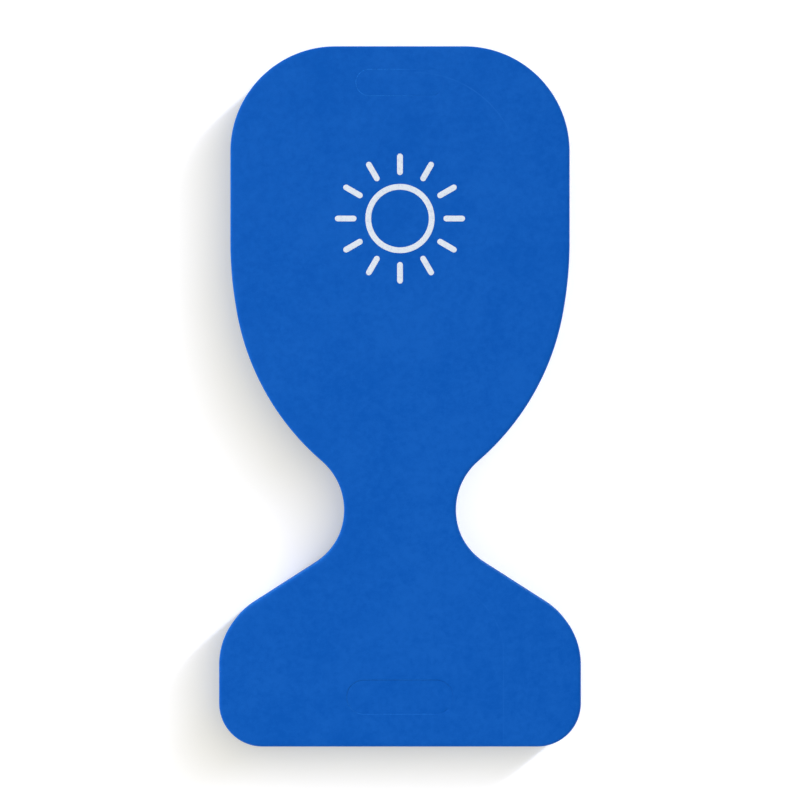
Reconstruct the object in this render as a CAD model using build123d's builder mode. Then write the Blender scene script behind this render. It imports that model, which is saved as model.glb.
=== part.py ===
from build123d import *
import os

# A sit-on foam saddle float: a wide head, a narrow waist that the rider sits astride, and a
# wide foot, cut from a laminated foam board. Millimetres, +Z up through the thickness, +Y
# towards the head. The origin is at the centre of the underside.

# Board outline, symmetric about X = 0
LENGTH = 840
HEAD_WIDTH = 407
FOOT_WIDTH = 434
HEAD_CORNER_RADIUS = 126
TAPER_START = 148
TAPER_START_RADIUS = 458
TAPER_KNEE = (179, -2)
TAPER_KNEE_RADIUS = 306
WAIST_CORNER = (17, -146)
WAIST_RADIUS = 77
SHOULDER_Y = -274
SHOULDER_RADIUS = 87
FOOT_CORNER_RADIUS = 52

# Lamination: three foam sheets bonded face to face, listed from the underside up
SKIN_SHEET = 10
CORE_SHEET = 20
PLIES = (
    ("bottom", 0, SKIN_SHEET),
    ("core", SKIN_SHEET, CORE_SHEET),
    ("top", SKIN_SHEET + CORE_SHEET, SKIN_SHEET),
)
THICKNESS = 2 * SKIN_SHEET + CORE_SHEET
EDGE_RADIUS = 4

# Bending: the board bends upwards across two lines, one each side of the waist
WAIST_Y = -135
FLEX_OFFSET = 50
FRONT_FLEX_Y = WAIST_Y + FLEX_OFFSET
REAR_FLEX_Y = WAIST_Y - FLEX_OFFSET

# Knock-out hand-holds: stadium plugs left in place by the cutting knife
FRONT_HOLD_LENGTH = 105
FRONT_HOLD_WIDTH = 31
FRONT_HOLD_Y = 376
REAR_HOLD_LENGTH = 127
REAR_HOLD_WIDTH = 40
REAR_HOLD_Y = -360
KNIFE_KERF = 0.3

# Printed emblem: a plain sun, a ring with rays, in a thin film of ink
EMBLEM_Y = 213
INK_THICKNESS = 0.2
INK_STROKE = 7
RING_RADIUS = 38
RAY_COUNT = 12
RAY_INNER = 52
RAY_OUTER = 78


def board_outline():
    """The whole board seen from above."""
    head_corner = (HEAD_WIDTH / 2, LENGTH / 2)
    taper_start = (HEAD_WIDTH / 2, TAPER_START)
    shoulder = (FOOT_WIDTH / 2, SHOULDER_Y)
    foot_corner = (FOOT_WIDTH / 2, -LENGTH / 2)
    corners = (head_corner, taper_start, TAPER_KNEE, WAIST_CORNER, shoulder, foot_corner)
    radii = (
        HEAD_CORNER_RADIUS,
        TAPER_START_RADIUS,
        TAPER_KNEE_RADIUS,
        WAIST_RADIUS,
        SHOULDER_RADIUS,
        FOOT_CORNER_RADIUS,
    )
    with BuildSketch() as outline:
        with BuildLine():
            FilletPolyline((0, LENGTH / 2), *corners, (0, -LENGTH / 2), radius=radii)
            mirror(about=Plane.YZ)
        make_face()
    return outline.sketch


def panel_ply(label, low_y, high_y, bottom, height, hold=None):
    """One ply of one panel, between two lines across the board, with a hand-hold slot if it has one."""
    with BuildPart() as ply:
        with BuildSketch(Plane.XY.offset(bottom)):
            add(OUTLINE)
            with Locations((0, (low_y + high_y) / 2)):
                Rectangle(FOOT_WIDTH, high_y - low_y, mode=Mode.INTERSECT)
            if hold:
                length, width, hold_y = hold
                with Locations((0, hold_y)):
                    SlotOverall(length + 2 * KNIFE_KERF, width + 2 * KNIFE_KERF, mode=Mode.SUBTRACT)
        extrude(amount=height)
        if bottom == 0:
            fillet(board_rim(ply.faces().sort_by(Axis.Z)[0]), EDGE_RADIUS)
        if bottom + height == THICKNESS:
            fillet(board_rim(ply.faces().sort_by(Axis.Z)[-1]), EDGE_RADIUS)
    save(ply, label)


def board_rim(face):
    """The edges of a panel's face that lie on the board's outline, not on a bending line."""
    bending_lines = (FRONT_FLEX_Y, REAR_FLEX_Y)
    return face.outer_wire().edges().filter_by(
        lambda edge: all(abs(edge.center().Y - line) > 0.01 for line in bending_lines)
    )


def plug_ply(label, bottom, height, hold):
    """One ply of a hand-hold plug."""
    length, width, hold_y = hold
    with BuildPart() as plug:
        with BuildSketch(Plane.XY.offset(bottom)):
            with Locations((0, hold_y)):
                SlotOverall(length, width)
        extrude(amount=height)
    save(plug, label)


def emblem():
    """The ink film of the sun: a ring and its rays."""
    with BuildPart() as sun:
        with BuildSketch(Plane.XY.offset(THICKNESS)):
            with Locations((0, EMBLEM_Y)):
                Circle(RING_RADIUS + INK_STROKE / 2)
                Circle(RING_RADIUS - INK_STROKE / 2, mode=Mode.SUBTRACT)
                with PolarLocations((RAY_INNER + RAY_OUTER) / 2, RAY_COUNT):
                    SlotOverall(RAY_OUTER - RAY_INNER, INK_STROKE)
        extrude(amount=INK_THICKNESS)
    save(sun, "printed_emblem")


def save(builder, label):
    builder.part.label = label
    export_step(builder.part, f"parts/{label}.step")


os.makedirs("parts", exist_ok=True)
OUTLINE = board_outline()
FRONT_HOLD = (FRONT_HOLD_LENGTH, FRONT_HOLD_WIDTH, FRONT_HOLD_Y)
REAR_HOLD = (REAR_HOLD_LENGTH, REAR_HOLD_WIDTH, REAR_HOLD_Y)
for ply_name, ply_bottom, ply_height in PLIES:
    panel_ply(f"front_{ply_name}_ply", FRONT_FLEX_Y, LENGTH / 2, ply_bottom, ply_height, FRONT_HOLD)
    panel_ply(f"seat_{ply_name}_ply", REAR_FLEX_Y, FRONT_FLEX_Y, ply_bottom, ply_height)
    panel_ply(f"rear_{ply_name}_ply", -LENGTH / 2, REAR_FLEX_Y, ply_bottom, ply_height, REAR_HOLD)
    plug_ply(f"front_plug_{ply_name}_ply", ply_bottom, ply_height, FRONT_HOLD)
    plug_ply(f"rear_plug_{ply_name}_ply", ply_bottom, ply_height, REAR_HOLD)
emblem()
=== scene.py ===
import math

import bpy
import numpy as np
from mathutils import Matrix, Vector, geometry, noise


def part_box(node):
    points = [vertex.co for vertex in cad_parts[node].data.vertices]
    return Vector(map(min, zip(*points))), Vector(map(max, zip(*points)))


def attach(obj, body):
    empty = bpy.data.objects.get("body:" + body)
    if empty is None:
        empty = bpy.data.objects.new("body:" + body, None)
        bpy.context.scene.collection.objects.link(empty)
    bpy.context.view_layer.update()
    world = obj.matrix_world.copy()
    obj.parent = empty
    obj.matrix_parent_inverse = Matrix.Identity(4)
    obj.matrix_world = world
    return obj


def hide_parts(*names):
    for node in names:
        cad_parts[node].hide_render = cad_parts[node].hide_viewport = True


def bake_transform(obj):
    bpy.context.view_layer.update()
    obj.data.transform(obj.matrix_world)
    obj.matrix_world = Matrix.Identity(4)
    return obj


# The looks of a foam saddle float. Metres, in the CAD's own frame: +Z out of the printed face,
# +Y towards the head. Each foam piece is a closed mesh built round the CAD's outline, with the
# routed edge, the bond lines, the knife cut round each plug and the faint marks of the face.

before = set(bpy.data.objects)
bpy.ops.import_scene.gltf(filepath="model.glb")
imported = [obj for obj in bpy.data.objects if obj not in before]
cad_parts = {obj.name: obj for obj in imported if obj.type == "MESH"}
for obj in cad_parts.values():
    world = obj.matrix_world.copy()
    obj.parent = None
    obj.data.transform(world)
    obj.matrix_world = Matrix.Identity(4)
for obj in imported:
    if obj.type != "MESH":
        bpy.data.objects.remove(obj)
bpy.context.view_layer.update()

# Sizes that the frame holds
HALF_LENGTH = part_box("front_core_ply")[1].y
HEAD_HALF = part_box("front_core_ply")[1].x
FOOT_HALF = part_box("rear_core_ply")[1].x
PLY_NAMES = ("bottom", "core", "top")
PLIES = {name: (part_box(f"seat_{name}_ply")[0].z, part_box(f"seat_{name}_ply")[1].z) for name in PLY_NAMES}
TOP = PLIES["top"][1]

# The outline's corners down the right side, each with its radius, as in the CAD
CORNERS = (
    ((HEAD_HALF, HALF_LENGTH), 0.126),
    ((HEAD_HALF, 0.148), 0.458),
    ((0.179, -0.002), 0.306),
    ((0.017, -0.146), 0.077),
    ((FOOT_HALF, -0.274), 0.087),
    ((FOOT_HALF, -HALF_LENGTH), 0.052),
)
OUTLINE_STEP = 0.003
WAIST_STEP = 0.0012
OUTLINE_TOLERANCE = 0.0003
BESIDE_SLOTS = 0.066

# Edges: the routed roll, the gentle fall of the faces towards it, how many of their rings keep the
# skin, the bond lines of the routed wall, and the narrower ones of the knife cuts
ROLL_IN = 0.0042
ROLL_DOWN = 0.0040
ROLL_STEPS = 8
FALL_IN = 0.0115
FALL_DOWN = 0.0005
FALL_STEPS = 5
SKIN_RINGS = FALL_STEPS + ROLL_STEPS // 2
BOND_IN = 0.0009
BOND_DOWN = 0.0008
GLUE_IN = 0.0004
GLUE_DOWN = 0.0005
SHARP_ANGLE = math.radians(38)

# Triangle sizes of the faces
FACE_STEP = 0.0065
HIDDEN_STEP = 0.012
PLUG_STEP = 0.004
MARK_STEP = 0.003

# Relief of the printed face: slow waves in the sheet, with a finer ripple, as a slice through solid
# noise, and the dents that the edges of two other boards left in it, when they lay on it askew. Each
# dent goes round one corner of such a board.
WAVE_HEIGHT = 0.00022
WAVE_LENGTH = 0.070
WAVE_SLICE = 0.37
RIPPLE_FINER = 2.7
RIPPLE_HEIGHT = 0.4
DENT_DEPTH = 0.00012
DENT_WIDTH = 0.0020
DENT_RUN = 0.12

# For each dent: its corner's centre and radius, how strong it is, and where it fades, as an axis
# with the places where it is gone and where it is full
DENTS = (
    ((0.0181, 0.2618), CORNERS[0][1], 0.75, (("X", -0.01, 0.08), ("Y", 0.30, 0.36))),
    ((0.0370, -0.3090), CORNERS[4][1], 0.35, (("X", 0.085, 0.10), ("Y", -0.235, -0.25))),
)

# Hand-hold plugs. The knife's cut has one gap beside a plug's ends and another along its sides, and
# the rear plug has slipped to the right and towards the foot. The lips of slot and plug are given as
# width and depth. A plug stands proud or sunk by its rise, except at its right end, which is nearly
# flush: there the rise and the lips grow from their least to full, over that share of its length.
HOLD_STEP = 0.0016
CAD_KERF = 0.0003
CUT_GAP = {"front": (0.00001, 0.00001), "rear": (0.00009, 0.00014)}
PLUG_SLIP = {"front": (0.0, 0.0), "rear": (0.00007, -0.00012)}
LIP_STEPS = 4
LIP_SKIN = {"front": 0, "rear": 2}
SLOT_LIP = {"front": (0.0005, 0.0001), "rear": (0.0010, 0.0004)}
PLUG_LIP = {"front": (0.0005, 0.0001), "rear": (0.0001, 0.00003)}
PLUG_RISE = {"front": 0.0001, "rear": -0.0004}
FLUSH_END = {"front": 0.90, "rear": 0.30}
LEAST_OPEN = 0.05

# The printed sun. The film's rings are given as inset and height above the face.
RING_RADIUS = 0.038
INK_STROKE = 0.007
RAY_INNER = 0.052
RAY_COUNT = 12
INK_STEP = 0.0015
INK_FILM = ((0.0004, 0.00015), (0.00012, 0.00012), (0, -0.00005), (0, -0.0002))

# Colours
SKIN_DEEP = (0.0007, 0.0925, 0.467, 1)
SKIN_LIGHT = (0.0044, 0.1110, 0.510, 1)
# A paler blue: it is laid in broken lines along the dents, and in worn patches along the edges
PALE_BLUE = (0.0120, 0.1450, 0.580, 1)
CUT_DEEP = (0.0010, 0.088, 0.420, 1)
CUT_LIGHT = (0.0110, 0.166, 0.640, 1)
INK_WHITE = (0.745, 0.800, 0.885, 1)
INK_THIN = (0.580, 0.670, 0.810, 1)
FLOOR_DEEP = (0.84, 0.832, 0.80, 1)
FLOOR_LIGHT = (0.86, 0.852, 0.82, 1)

# Sizes of what the materials show. Wear on an edge begins at one depth below the face and is full
# at another. The knife's draw marks are noise stretched down the wall. Bumps are given as distance
# and strength.
PALE_LINE_WIDTH = 0.0011
WORN_FROM = 0.0008
WORN_TO = 0.0030
BREAK_SIZE = 0.012
WEAR_SIZE = 0.022
CLOUD_SIZE = 0.080
MOTTLE_SIZE = 0.007
GRAIN_SIZE = 0.0011
GRAIN_BUMP = (0.00012, 0.25)
INK_BUMP = (0.00010, 0.25)
PEBBLE_SIZE = 0.0012
CELL_SIZE = 0.0013
TORN_SIZE = 0.005
CELL_BUMP = (0.00045, 0.6)
DRAWN_SIZE = 0.0035
DRAWN_OUT = (1.0, 1.0, 0.12)
INK_PATCH_SIZE = 0.004
FLOOR_GRAIN_SIZE = 0.05

# Light, floor and camera. The sun row's reach is how far its longest shadow falls, and its colour
# and the floor's glow together keep the shadow grey beside the blue wall.
HORIZON_LEVEL = 0.87
ZENITH_LEVEL = 0.35
KEY_LEVEL = 0.415
KEY_TILT = math.radians(32)
KEY_AZIMUTH = math.radians(140)
KEY_SPREAD = math.radians(45)
FILL_LEVEL = 0.06
FILL_TILT = math.radians(60)
FILL_AZIMUTH = math.radians(180)
FILL_DISTANCE = 1.6
FILL_SIZE = 0.8
SHADOW_LEVEL = 0.48
SHADOW_AZIMUTH = math.radians(40)
SHADOW_REACH = 0.126
SHADOW_COLOUR = (1.0, 1.05, 1.38)
FLOOR_GLOW = 0.305
FLOOR_GLOW_COLOUR = (1.0, 0.94, 0.66, 1)
SUNS = 9
SUN_OVERLAP = 1.6
FLOOR_HALF = 8.0
LENS = 100
SENSOR = 36
VIEW_WIDTH = 0.958
VIEW_CENTRE_Y = -0.0043

# Material slots of a foam piece
SKIN, CUT = 0, 1


# ---------------------------------------------------------------- outlines

def along_arc(centre, radius, stops, step, hollow):
    """Points and outward normals along an arc through the given angles."""
    points = []
    for first, last in zip(stops, stops[1:]):
        count = max(1, math.ceil(abs(last - first) * radius / step))
        for k in range(0 if not points else 1, count + 1):
            angle = first + (last - first) * k / count
            out = Vector((math.cos(angle), math.sin(angle)))
            points.append((centre + out * radius, -out if hollow else out))
    return points


def rounded_corner(before, corner, after, radius):
    """The arc that rounds one corner of the outline, which runs clockwise seen from above."""
    back = (before - corner).normalized()
    ahead = (after - corner).normalized()
    half = back.angle(ahead) / 2
    centre = corner + (back + ahead).normalized() * radius / math.sin(half)
    start = corner + back * radius / math.tan(half) - centre
    first = math.atan2(start.y, start.x)
    turn = math.pi - 2 * half
    if back.cross(ahead) > 0:
        return along_arc(centre, radius, (first, first - turn), OUTLINE_STEP, hollow=False)
    # The waist: its narrowest point, at angle pi, is where the front and rear pieces meet
    return along_arc(centre, radius, (first, math.pi, first + turn), WAIST_STEP, hollow=True)


def straight(start, end, normal):
    """Points strictly between two points of the outline, with their normal."""
    count = int((end - start).length / OUTLINE_STEP)
    return [(start.lerp(end, k / count), normal) for k in range(1, count)]


def right_side():
    """Points and outward normals down the right side, from the head's middle to the foot's."""
    route = [Vector((0, HALF_LENGTH)), *(Vector(corner) for corner, _ in CORNERS), Vector((0, -HALF_LENGTH))]
    side = [(route[0], Vector((0, 1)))]
    for k, (_, radius) in enumerate(CORNERS, start=1):
        arc = rounded_corner(route[k - 1], route[k], route[k + 1], radius)
        side += straight(side[-1][0], arc[0][0], arc[0][1]) + arc
    down = Vector((0, -1))
    return side + straight(side[-1][0], route[-1], down) + [(route[-1], down)]


def mirrored(side):
    """The left side for a right side, run the other way, so that both go clockwise."""
    return [(Vector((-p.x, p.y)), Vector((-n.x, n.y))) for p, n in reversed(side)]


def board_halves():
    """The rims of the front and rear halves, each clockwise and open across the waist."""
    side = right_side()
    waist = min(range(len(side)), key=lambda k: side[k][0].x if abs(side[k][1].y) < 1e-9 else math.inf)
    upper, lower = side[:waist + 1], side[waist:]
    return mirrored(upper)[:-1] + upper, lower + mirrored(lower)[1:]


def stadium(centre, length, width, step, angle=0.0, hole=False):
    """The rim of a slot shape. It is clockwise, or anticlockwise with inward normals for a hole."""
    radius = width / 2
    along = Vector((math.cos(angle), math.sin(angle)))
    reach = along * (length / 2 - radius)
    quarter = math.pi / 2
    rim = along_arc(centre + reach, radius, (angle + quarter, angle - quarter), step, False)
    far = along_arc(centre - reach, radius, (angle - quarter, angle - 3 * quarter), step, False)
    rim += between(rim[-1], far[0], step) + far
    rim += between(far[-1], rim[0], step)
    return as_hole(rim) if hole else rim


def between(a, b, step):
    count = max(1, math.ceil((b[0] - a[0]).length / step))
    return [(a[0].lerp(b[0], k / count), a[1]) for k in range(1, count)]


def circle(centre, radius, step, hole=False):
    rim = along_arc(centre, radius, (math.pi, -math.pi), step, False)[:-1]
    return as_hole(rim) if hole else rim


def as_hole(rim):
    return [(p, -n) for p, n in reversed(rim)]


def check_outline(halves):
    """Stops the script if a corner of the CAD's core sheet, outside its slots, is off the outline."""
    rim = np.array([tuple(p) for half in halves for p, _ in half])
    runs = np.roll(rim, -1, axis=0) - rim
    reach = np.maximum((runs ** 2).sum(1), 1e-12)
    for panel in ("front", "seat", "rear"):
        corners = np.array([v.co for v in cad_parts[f"{panel}_core_ply"].data.vertices])[:, :2]
        corners = corners[np.abs(corners[:, 0]) > BESIDE_SLOTS]
        offset = corners[:, None] - rim[None]
        along = np.clip((offset * runs).sum(2) / reach, 0, 1)
        gap = np.sqrt(((offset - along[..., None] * runs) ** 2).sum(2)).min(1)
        if not len(gap) or gap.max() > OUTLINE_TOLERANCE:
            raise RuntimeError(f"the outline doesn't follow {panel}_core_ply")


# ---------------------------------------------------------------- relief

def dent_at(x, y, dent):
    """How deep a dent is at a point, from 0 to 1. It follows a corner and both its straight sides."""
    (centre_x, centre_y), radius, strength, fades = dent
    beyond = math.hypot(max(x - centre_x, 0.0), max(y - centre_y, 0.0))
    away = (beyond - radius) / DENT_WIDTH
    depth = strength * math.exp(-away * away)
    for axis, gone, full in fades:
        at = x if axis == "X" else y
        depth *= min(1.0, max(0.0, (at - gone) / (full - gone)))
    return depth


def dent_points(dent):
    """Points for the mesh along a dent: down its middle and both its sides, where it isn't faded."""
    centre, radius = dent[:2]
    points = []
    for beside in (-DENT_WIDTH, 0, DENT_WIDTH):
        arc = [p for p, _ in along_arc(Vector(centre), radius + beside, (math.pi / 2, 0), MARK_STEP, False)]
        steps = [MARK_STEP * k for k in range(1, round(DENT_RUN / MARK_STEP))]
        points += arc
        points += [arc[0] - Vector((step, 0)) for step in steps]
        points += [arc[-1] - Vector((0, step)) for step in steps]
    return [tuple(p) for p in points if dent_at(p.x, p.y, dent) > 0.01]


DENT_POINTS = np.array([point for dent in DENTS for point in dent_points(dent)])


def face_relief(x, y):
    """How far the printed face stands above its flat plane at a point."""
    place = Vector((x / WAVE_LENGTH, y / WAVE_LENGTH, WAVE_SLICE))
    waves = noise.noise(place) + RIPPLE_HEIGHT * noise.noise(place * RIPPLE_FINER)
    return WAVE_HEIGHT * waves - DENT_DEPTH * sum(dent_at(x, y, dent) for dent in DENTS)


# ---------------------------------------------------------------- meshes

def inside(points, loops):
    """Which points are inside the outer loop and outside the others, by the even-odd rule."""
    odd = np.zeros(len(points), bool)
    for loop in loops:
        a, b = loop, np.roll(loop, -1, axis=0)
        for (x0, y0), (x1, y1) in zip(a, b):
            if y0 != y1:
                crosses = (points[:, 1] >= min(y0, y1)) & (points[:, 1] < max(y0, y1))
                odd ^= crosses & (points[:, 0] < x0 + (points[:, 1] - y0) * (x1 - x0) / (y1 - y0))
    return odd


def fill_points(loops, step, marks):
    """An even grid of points inside the loops, clear of their edges, with the marks' own points."""
    low, high = loops[0].min(0), loops[0].max(0)
    rows = np.arange(low[1] + step / 2, high[1], step * math.sqrt(3) / 2)
    columns = np.arange(low[0], high[0], step)
    grid = [(x + step / 2 * (k % 2), y) for k, y in enumerate(rows) for x in columns]
    grid = clear_of(np.array(grid), np.concatenate(loops), step * 0.6)
    grid = grid[inside(grid, loops)]
    if len(marks):
        marks = clear_of(marks, np.concatenate(loops), MARK_STEP * 0.5)
        marks = marks[inside(marks, loops)]
        grid = np.concatenate([clear_of(grid, marks, step * 0.4), marks])
    return grid


def clear_of(points, others, least):
    """The points that are at least so far from every one of the others."""
    chunks = np.array_split(points, 40)
    gaps = [np.sqrt(((chunk[:, None] - others[None]) ** 2).sum(2)).min(1) for chunk in chunks]
    return points[np.concatenate(gaps) > least]


def cap(loops, step, marks=()):
    """Fills between loops of 2D points. Returns the points it adds, and triangles over them all."""
    edges, start = [], 0
    for loop in loops:
        count = len(loop)
        edges += [(start + k, start + (k + 1) % count) for k in range(count)]
        start += count
    added = fill_points(loops, step, marks)
    points = np.concatenate([*loops, added])
    made = geometry.delaunay_2d_cdt([Vector(p) for p in points], edges, [], 0, 1e-7, True)
    first = [ids[0] for ids in made[3]]
    triangles = np.array([[first[v] for v in face] for face in made[2]])
    keep = inside(points[triangles].mean(1), loops)
    triangles = triangles[keep]
    a, b, c = (points[triangles[:, k]] for k in range(3))
    turned = (b[:, 0] - a[:, 0]) * (c[:, 1] - a[:, 1]) < (b[:, 1] - a[:, 1]) * (c[:, 0] - a[:, 0])
    triangles[turned] = triangles[turned][:, ::-1]
    return added, triangles


class Slab:
    """A closed flat body: walls that follow profiles round its rims, and two filled faces."""

    def __init__(self):
        self.points = []
        self.faces = []
        self.slots = []

    def add(self, points, z):
        first = len(self.points)
        self.points += [(p[0], p[1], z) for p in points]
        return list(range(first, len(self.points)))

    def wall(self, rim, profile, closed, opening):
        """Rings of points down one wall, and the faces between them. Returns the rings.

        A profile has the inset and height of each ring, whether an opening scales that inset, and
        whether the ring keeps the skin, which a face does between two such rings."""
        rings = []
        for inset, z, opens, _ in profile:
            ring = [p - n * inset * (opening(p) if opens else 1.0) for p, n in rim]
            rings.append(self.add(ring, z))
        count = len(rim)
        for k, (upper, lower) in enumerate(zip(rings, rings[1:])):
            slot = SKIN if profile[k][3] and profile[k + 1][3] else CUT
            for i in range(count if closed else count - 1):
                j = (i + 1) % count
                self.faces.append((upper[i], upper[j], lower[j], lower[i]))
                self.slots.append(slot)
        return rings


def close_end(slab, loops, z, step, marks, upper):
    """Fills between loops of the slab's own points at one height, facing up or down."""
    flat = [np.array([slab.points[v][:2] for v in loop]) for loop in loops]
    added, triangles = cap(flat, step, marks if upper else ())
    index = np.array(sum(loops, []) + slab.add(added, z))
    for triangle in triangles:
        corners = [int(v) for v in index[triangle]]
        slab.faces.append(tuple(corners if upper else corners[::-1]))
        slab.slots.append(SKIN)


def close_waist(slab, outer, across):
    """The face across the waist, round the wall's open ends and the points across each end."""
    left = [ring[0] for ring in outer[1:-1]]
    right = [ring[-1] for ring in reversed(outer[1:-1])]
    lower = [outer[-1][0], *reversed(across[1]), outer[-1][-1]]
    slab.faces.append((outer[0][-1], *across[0], outer[0][0], *left, *lower, *right))
    slab.slots.append(CUT)


def build_slab(slab, rim, profile, steps, hole=None, cut=False, marks=(), opening=None):
    """Adds a body to a slab: its rim's wall, a hole's wall, two ends, and its face across the waist
    if it is cut. A hole is its rim and its profile. The steps are the ends' triangle sizes."""
    outer = slab.wall(rim, profile, not cut, opening)
    inner = slab.wall(*hole, True, opening) if hole else None
    across = []
    for end, step in zip((0, -1), steps):
        ring, z = outer[end], profile[end][1]
        added = []
        if cut:
            a, b = (Vector(slab.points[ring[k]][:2]) for k in (-1, 0))
            count = int((b - a).length / FACE_STEP)
            added = slab.add([a.lerp(b, k / count) for k in range(1, count)], z)
        across.append(added)
        loops = [ring + added] + ([inner[end]] if inner else [])
        close_end(slab, loops, z, step, marks, upper=end == 0)
    if cut:
        close_waist(slab, outer, across)


def finish_mesh(name, slab, materials, relief=None):
    """The slab as an object. A relief lifts its upper face, and less and less down its walls."""
    points = slab.points
    if relief:
        low, span = PLIES["top"][0], TOP - PLIES["top"][0]
        points = [(x, y, z + relief(x, y) * min(1.0, (z - low) / span)) for x, y, z in points]
    mesh = bpy.data.meshes.new(name)
    mesh.from_pydata(points, [], slab.faces)
    for material in materials:
        mesh.materials.append(material)
    mesh.polygons.foreach_set("material_index", slab.slots)
    mesh.polygons.foreach_set("use_smooth", [True] * len(mesh.polygons))
    mesh.validate()
    mesh.set_sharp_from_angle(angle=SHARP_ANGLE)
    piece = bpy.data.objects.new(name, mesh)
    bpy.context.scene.collection.objects.link(piece)
    return piece


# ---------------------------------------------------------------- profiles

def rolled_edge():
    """The routed edge as (inset, drop), a quarter of an ellipse at the end of a gentle fall."""
    insets = [FALL_IN + (ROLL_IN - FALL_IN) * k / FALL_STEPS for k in range(FALL_STEPS)]
    angles = [math.pi / 2 * k / ROLL_STEPS for k in range(ROLL_STEPS + 1)]
    whole = [(i, 0.0) for i in insets]
    whole += [(ROLL_IN * (1 - math.sin(a)), ROLL_DOWN * (1 - math.cos(a))) for a in angles]
    return [(i, drop + FALL_DOWN * (1 - i / FALL_IN) ** 2) for i, drop in whole]


def pressed_lip(width, depth):
    """A lip that steepens towards the cut, as (inset, drop)."""
    return [(width * (1 - k / LIP_STEPS), depth * (k / LIP_STEPS) ** 2) for k in range(LIP_STEPS + 1)]


def profile_of(name, face_edge, bond_edge):
    """Rings down one ply: a face edge where the ply is outermost, and a bond edge elsewhere."""
    low, high = PLIES[name]
    above = face_edge if name == "top" else bond_edge
    below = face_edge if name == "bottom" else bond_edge
    down = [(i, high - drop, *how) for i, drop, *how in above]
    return down + [(i, low + drop, *how) for i, drop, *how in reversed(below)]


def routed_profile(name):
    """The board's wall down one ply."""
    rolled = [(*ring, False, k <= SKIN_RINGS) for k, ring in enumerate(rolled_edge())]
    return profile_of(name, rolled, [(BOND_IN, 0.0, False, False), (0.0, BOND_DOWN, False, False)])


def cut_profile(name, lip, skin_rings):
    """A knife-cut wall down one ply, with a lip where it meets an open face."""
    pressed = [(*ring, True, k <= skin_rings) for k, ring in enumerate(pressed_lip(*lip))]
    return profile_of(name, pressed, [(GLUE_IN, 0.0, False, False), (0.0, GLUE_DOWN, False, False)])


# ---------------------------------------------------------------- materials

def node(tree, kind, inputs=(), **settings):
    """A new node. Each input is a constant or another node's output socket."""
    made = tree.nodes.new(kind)
    for name, value in settings.items():
        setattr(made, name, value)
    for name, value in dict(inputs).items():
        if isinstance(value, bpy.types.NodeSocket):
            tree.links.new(value, made.inputs[name])
        else:
            made.inputs[name].default_value = value
    return made


def new_material(name, **constants):
    """A material with a Principled shader whose constants are set on its own sockets."""
    material = bpy.data.materials.new(name)
    material.use_nodes = True
    tree = material.node_tree
    shader = tree.nodes["Principled BSDF"]
    for socket, value in constants.items():
        shader.inputs[socket.replace("_", " ")].default_value = value
    return material, tree, shader


def noise_at(tree, place, size, detail=2.0, roughness=0.5):
    """Noise whose features are about so many metres across."""
    inputs = {"Vector": place, "Scale": 1 / size, "Detail": detail, "Roughness": roughness}
    made = node(tree, "ShaderNodeTexNoise", inputs)
    return made.outputs["Fac"]


def cells_at(tree, place, size):
    """Rounded cells about so many metres across, low at their edges."""
    made = node(tree, "ShaderNodeTexVoronoi", {"Vector": place, "Scale": 1 / size}, feature="SMOOTH_F1")
    return made.outputs["Distance"]


def mixed(tree, factor, a, b):
    """A mix of two colours, each a constant or a socket."""
    return node(tree, "ShaderNodeMix", {0: factor, 6: a, 7: b}, data_type="RGBA").outputs[2]


def math_node(tree, operation, *values):
    """The result of a maths operation on constants or sockets."""
    return node(tree, "ShaderNodeMath", dict(enumerate(values)), operation=operation).outputs[0]


def vector_math(tree, operation, *values):
    """The vector that an operation on constants or sockets gives."""
    return node(tree, "ShaderNodeVectorMath", dict(enumerate(values)), operation=operation).outputs[0]


def total(tree, first, *others):
    """The weighted sum of (socket, weight) pairs."""
    so_far = math_node(tree, "MULTIPLY", *first)
    for socket, weight in others:
        so_far = math_node(tree, "MULTIPLY_ADD", socket, weight, so_far)
    return so_far


def spread(tree, socket, low, high, to_low, to_high):
    """socket, stretched from low..high to to_low..to_high."""
    inputs = {"Value": socket, "From Min": low, "From Max": high, "To Min": to_low, "To Max": to_high}
    return node(tree, "ShaderNodeMapRange", inputs).outputs["Result"]


def bump(tree, height, distance, strength):
    inputs = {"Height": height, "Distance": distance, "Strength": strength}
    return node(tree, "ShaderNodeBump", inputs).outputs["Normal"]


def pale_dent_line(tree, place, dent):
    """How much of the paler blue lies along the bottom of one dent."""
    centre, radius, strength, fades = dent
    offset = vector_math(tree, "SUBTRACT", place, (*centre, 1.0))
    beyond = vector_math(tree, "MAXIMUM", offset, (0, 0, 0))
    reach = node(tree, "ShaderNodeVectorMath", {0: beyond}, operation="LENGTH").outputs["Value"]
    away = math_node(tree, "ABSOLUTE", math_node(tree, "SUBTRACT", reach, radius))
    line = spread(tree, away, 0.0, PALE_LINE_WIDTH, strength, 0.0)
    axes = node(tree, "ShaderNodeSeparateXYZ", {0: place}).outputs
    for axis, gone, full in (*fades, ("Z", TOP - ROLL_DOWN * 2, TOP - ROLL_DOWN)):
        fade = spread(tree, axes[axis], gone, full, 0.0, 1.0)
        line = math_node(tree, "MULTIPLY", line, fade)
    return line


def pale_dent_lines(tree, place):
    """How much of the paler blue the skin takes: broken lines along the dents."""
    broken = spread(tree, noise_at(tree, place, BREAK_SIZE, 3.0), 0.35, 0.65, 0.35, 1.0)
    return total(tree, *((pale_dent_line(tree, place, dent), broken) for dent in DENTS))


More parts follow.
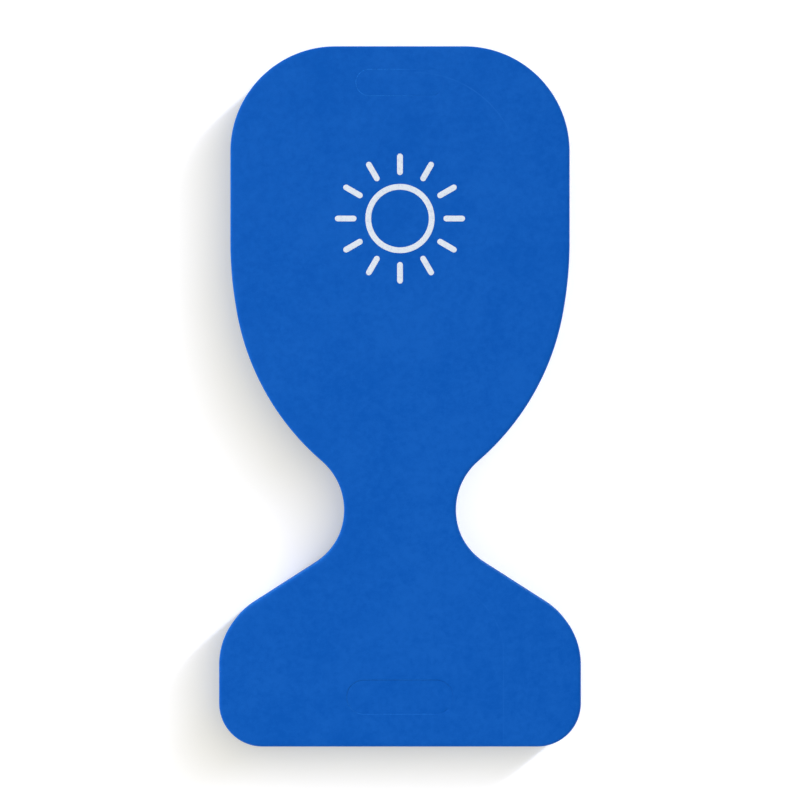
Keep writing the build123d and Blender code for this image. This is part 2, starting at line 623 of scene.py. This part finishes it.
def worn_edges(tree, place):
    """How worn the skin is along the routed edges of both faces, in patches."""
    height = node(tree, "ShaderNodeSeparateXYZ", {0: place}).outputs["Z"]
    depth = math_node(tree, "ABSOLUTE", math_node(tree, "SUBTRACT", height, TOP / 2))
    edge = spread(tree, depth, TOP / 2 - WORN_FROM, TOP / 2 - WORN_TO, 0.0, 1.0)
    patches = spread(tree, noise_at(tree, place, WEAR_SIZE, 5.0, 0.6), 0.50, 0.68, 0.0, 0.8)
    return math_node(tree, "MULTIPLY", edge, patches)


def foam_skin():
    """The sheet's own moulded skin: matt blue, faintly clouded, with a fine pebbled grain."""
    material, tree, shader = new_material("foam_skin", Specular_IOR_Level=0.06)
    place = node(tree, "ShaderNodeTexCoord").outputs["Object"]
    cloud = noise_at(tree, place, CLOUD_SIZE, 6.0, 0.85)
    mottle = noise_at(tree, place, MOTTLE_SIZE, 3.0)
    grain = noise_at(tree, place, GRAIN_SIZE)
    shade = total(tree, (cloud, 0.55), (mottle, 0.28), (grain, 0.17))
    shade = spread(tree, shade, 0.42, 0.58, 0.0, 1.0)
    clean = mixed(tree, shade, SKIN_DEEP, SKIN_LIGHT)
    # Broken lines of paler blue along the dents, then paler worn patches on the routed edges
    lined = mixed(tree, pale_dent_lines(tree, place), clean, PALE_BLUE)
    tree.links.new(mixed(tree, worn_edges(tree, place), lined, PALE_BLUE), shader.inputs["Base Color"])
    tree.links.new(spread(tree, mottle, 0.3, 0.7, 0.56, 0.70), shader.inputs["Roughness"])
    height = total(tree, (cells_at(tree, place, PEBBLE_SIZE), 0.6), (grain, 0.4))
    tree.links.new(bump(tree, height, *GRAIN_BUMP), shader.inputs["Normal"])
    return material


def foam_cut():
    """Foam that a knife has opened: burst cells, and faint marks where the blade was drawn down."""
    material, tree, shader = new_material("foam_cut", Specular_IOR_Level=0.08)
    place = node(tree, "ShaderNodeTexCoord").outputs["Object"]
    cells = cells_at(tree, place, CELL_SIZE)
    mottle = noise_at(tree, place, TORN_SIZE, 4.0, 0.65)
    drawn = noise_at(tree, vector_math(tree, "MULTIPLY", place, DRAWN_OUT), DRAWN_SIZE, 3.0, 0.6)
    shade = total(tree, (cells, 0.40), (mottle, 0.30), (drawn, 0.30))
    shade = spread(tree, shade, 0.28, 0.56, 0.0, 1.0)
    tree.links.new(mixed(tree, shade, CUT_DEEP, CUT_LIGHT), shader.inputs["Base Color"])
    tree.links.new(spread(tree, mottle, 0.3, 0.7, 0.68, 0.82), shader.inputs["Roughness"])
    height = total(tree, (cells, 0.6), (mottle, 0.2), (drawn, 0.2))
    tree.links.new(bump(tree, height, *CELL_BUMP), shader.inputs["Normal"])
    return material


def printed_ink():
    """White screen ink: thin enough for the foam's grain to show, with pinholes."""
    material, tree, shader = new_material("printed_ink", Specular_IOR_Level=0.3)
    place = node(tree, "ShaderNodeTexCoord").outputs["Object"]
    grain = noise_at(tree, place, GRAIN_SIZE)
    patchy = noise_at(tree, place, INK_PATCH_SIZE, 3.0)
    thin = spread(tree, total(tree, (grain, 0.5), (patchy, 0.5)), 0.36, 0.50, 1.0, 0.0)
    tree.links.new(mixed(tree, thin, INK_WHITE, INK_THIN), shader.inputs["Base Color"])
    tree.links.new(spread(tree, patchy, 0.3, 0.7, 0.42, 0.56), shader.inputs["Roughness"])
    tree.links.new(bump(tree, grain, *INK_BUMP), shader.inputs["Normal"])
    return material


def floor_material():
    """A plain pale floor with the faintest grain."""
    material, tree, shader = new_material("floor", Specular_IOR_Level=0.1, Emission_Strength=FLOOR_GLOW)
    shader.inputs["Emission Color"].default_value = FLOOR_GLOW_COLOUR
    place = node(tree, "ShaderNodeTexCoord").outputs["Object"]
    grain = noise_at(tree, place, FLOOR_GRAIN_SIZE, 3.0)
    tree.links.new(mixed(tree, grain, FLOOR_DEEP, FLOOR_LIGHT), shader.inputs["Base Color"])
    tree.links.new(spread(tree, grain, 0.3, 0.7, 0.80, 0.90), shader.inputs["Roughness"])
    return material


# ---------------------------------------------------------------- pieces

def hold_shape(panel):
    """Centre, length and width of a hand-hold plug, and how open its cut is along it."""
    low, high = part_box(f"{panel}_plug_top_ply")
    centre = Vector(((low.x + high.x) / 2, (low.y + high.y) / 2))
    length, width = high.x - low.x, high.y - low.y

    def opening(p):
        t = min(1.0, max(0.0, (high.x - p[0]) / (FLUSH_END[panel] * length)))
        return LEAST_OPEN + (1 - LEAST_OPEN) * t * t * (3 - 2 * t)

    return centre, length, width, opening


def finish_foam(piece, nodes):
    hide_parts(*nodes)
    return piece


def board_ply(panel, rim, ply):
    """One ply of the front or rear half of the board."""
    centre, length, width, opening = hold_shape(panel)
    slot = stadium(centre, length + 2 * CAD_KERF, width + 2 * CAD_KERF, HOLD_STEP, hole=True)
    hole = (slot, cut_profile(ply, SLOT_LIP[panel], LIP_SKIN[panel]))
    steps = (FACE_STEP if ply == "top" else HIDDEN_STEP, FACE_STEP if ply == "bottom" else HIDDEN_STEP)
    marks = DENT_POINTS if ply == "top" else ()
    slab = Slab()
    build_slab(slab, rim, routed_profile(ply), steps, hole, True, marks, opening)
    piece = finish_mesh(f"{panel}_foam_{ply}", slab, FOAM, face_relief if ply == "top" else None)
    finish_foam(piece, (f"{panel}_{ply}_ply", f"seat_{ply}_ply"))
    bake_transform(piece)


def plug_ply(panel, ply):
    """One ply of a hand-hold plug. It nearly fills its slot, since a knife takes no foam away."""
    centre, length, width, opening = hold_shape(panel)
    grown_x, grown_y = (2 * (CAD_KERF - gap) for gap in CUT_GAP[panel])
    middle = centre + Vector(PLUG_SLIP[panel])
    rim = stadium(middle, length + grown_x, width + grown_y, HOLD_STEP)
    profile = cut_profile(ply, PLUG_LIP[panel], LIP_SKIN[panel])
    slab = Slab()
    build_slab(slab, rim, profile, (PLUG_STEP, PLUG_STEP), opening=opening)

    def relief(x, y):
        return face_relief(x, y) + PLUG_RISE[panel] * opening((x, y))

    piece = finish_mesh(f"{panel}_plug_{ply}", slab, FOAM, relief if ply == "top" else None)
    finish_foam(piece, (f"{panel}_plug_{ply}_ply",))
    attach(piece, f"{panel}_plug")


def emblem():
    """The printed sun: a ring and its rays, as an ink film that follows the foam's face."""
    low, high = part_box("printed_emblem")
    centre = Vector(((low.x + high.x) / 2, (low.y + high.y) / 2))
    reach = (high.x - low.x) / 2
    film = [(inset, TOP + above, False, True) for inset, above in INK_FILM]
    steps = (INK_STEP * 2, INK_STEP * 2)
    slab = Slab()
    ring = circle(centre, RING_RADIUS + INK_STROKE / 2, INK_STEP)
    hole = circle(centre, RING_RADIUS - INK_STROKE / 2, INK_STEP, hole=True)
    build_slab(slab, ring, film, steps, (hole, film))
    middle = (RAY_INNER + reach) / 2
    for k in range(RAY_COUNT):
        angle = 2 * math.pi * k / RAY_COUNT
        place = centre + Vector((math.cos(angle), math.sin(angle))) * middle
        rim = stadium(place, reach - RAY_INNER, INK_STROKE, INK_STEP, angle)
        build_slab(slab, rim, film, steps)
    piece = finish_mesh("sun_emblem", slab, (printed_ink(),), face_relief)
    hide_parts("printed_emblem")
    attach(piece, "front_panel")


# ---------------------------------------------------------------- studio

def studio_world():
    """Soft light from all round: white at the horizon, dimmer overhead."""
    world = bpy.data.worlds.new("studio")
    bpy.context.scene.world = world
    world.use_nodes = True
    tree = world.node_tree
    direction = node(tree, "ShaderNodeTexCoord").outputs["Generated"]
    height = node(tree, "ShaderNodeSeparateXYZ", {0: direction}).outputs["Z"]
    level = spread(tree, height, 0.0, 1.0, HORIZON_LEVEL, ZENITH_LEVEL)
    tree.links.new(level, tree.nodes["Background"].inputs["Strength"])
    tree.nodes["Background"].inputs["Color"].default_value = (1, 1, 1, 1)


def add_light(name, kind, tilt, azimuth, receivers, **settings):
    """A light that shines down at a tilt from overhead, and lights only its receivers."""
    data = bpy.data.lights.new(name, kind)
    for setting, value in settings.items():
        setattr(data, setting, value)
    lamp = bpy.data.objects.new(name, data)
    lamp.rotation_euler = (0, tilt, azimuth)
    lamp.light_linking.receiver_collection = receivers
    lamp.visible_camera = False
    bpy.context.scene.collection.objects.link(lamp)
    return lamp


def studio_lights(stage):
    """A broad key and a low side light on the board, and a narrow row of suns for its floor shadow."""
    board_only = bpy.data.collections.new("board_only")
    board_only.objects.link(stage)
    board_only.collection_objects[0].light_linking.link_state = "EXCLUDE"
    strength = math.pi * KEY_LEVEL / math.cos(KEY_TILT)
    add_light("key", "SUN", KEY_TILT, KEY_AZIMUTH, board_only, energy=strength, angle=KEY_SPREAD)
    reach = FILL_DISTANCE ** 2 + (FILL_SIZE / 2) ** 2
    power = math.pi ** 2 * FILL_LEVEL * reach / math.cos(FILL_TILT)
    disk = {"shape": "DISK", "size": FILL_SIZE, "energy": power}
    fill = add_light("fill", "AREA", FILL_TILT, FILL_AZIMUTH, board_only, **disk)
    fill.location = fill.rotation_euler.to_matrix() @ Vector((0, 0, FILL_DISTANCE))
    floor_only = bpy.data.collections.new("floor_only")
    floor_only.objects.link(stage)
    for k in range(SUNS):
        reach = SHADOW_REACH * (k + 0.5) / SUNS
        tilt = math.atan(reach / TOP)
        strength = math.pi * SHADOW_LEVEL / SUNS / math.cos(tilt)
        angle = SUN_OVERLAP * SHADOW_REACH / SUNS * math.cos(tilt) ** 2 / TOP
        shine = {"energy": strength, "angle": angle, "color": SHADOW_COLOUR}
        add_light(f"shadow_{k}", "SUN", tilt, SHADOW_AZIMUTH, floor_only, **shine)


def floor():
    mesh = bpy.data.meshes.new("floor")
    corners = [(FLOOR_HALF * x, FLOOR_HALF * y, 0) for x, y in ((-1, -1), (1, -1), (1, 1), (-1, 1))]
    mesh.from_pydata(corners, [], [(0, 1, 2, 3)])
    mesh.materials.append(floor_material())
    piece = bpy.data.objects.new("floor", mesh)
    bpy.context.scene.collection.objects.link(piece)
    return piece


def camera():
    """Straight above the board, with the head at the top of the picture."""
    data = bpy.data.cameras.new("camera")
    data.lens = LENS
    data.sensor_width = SENSOR
    made = bpy.data.objects.new("camera", data)
    made.location = (0, VIEW_CENTRE_Y, TOP + VIEW_WIDTH * LENS / SENSOR)
    bpy.context.scene.collection.objects.link(made)
    bpy.context.scene.camera = made
    bpy.context.scene.view_settings.view_transform = "Standard"


camera()
studio_world()
studio_lights(floor())
FOAM = (foam_skin(), foam_cut())
halves = dict(zip(("front", "rear"), board_halves()))
check_outline(halves.values())
for panel, rim in halves.items():
    for ply in PLIES:
        board_ply(panel, rim, ply)
        plug_ply(panel, ply)
emblem()
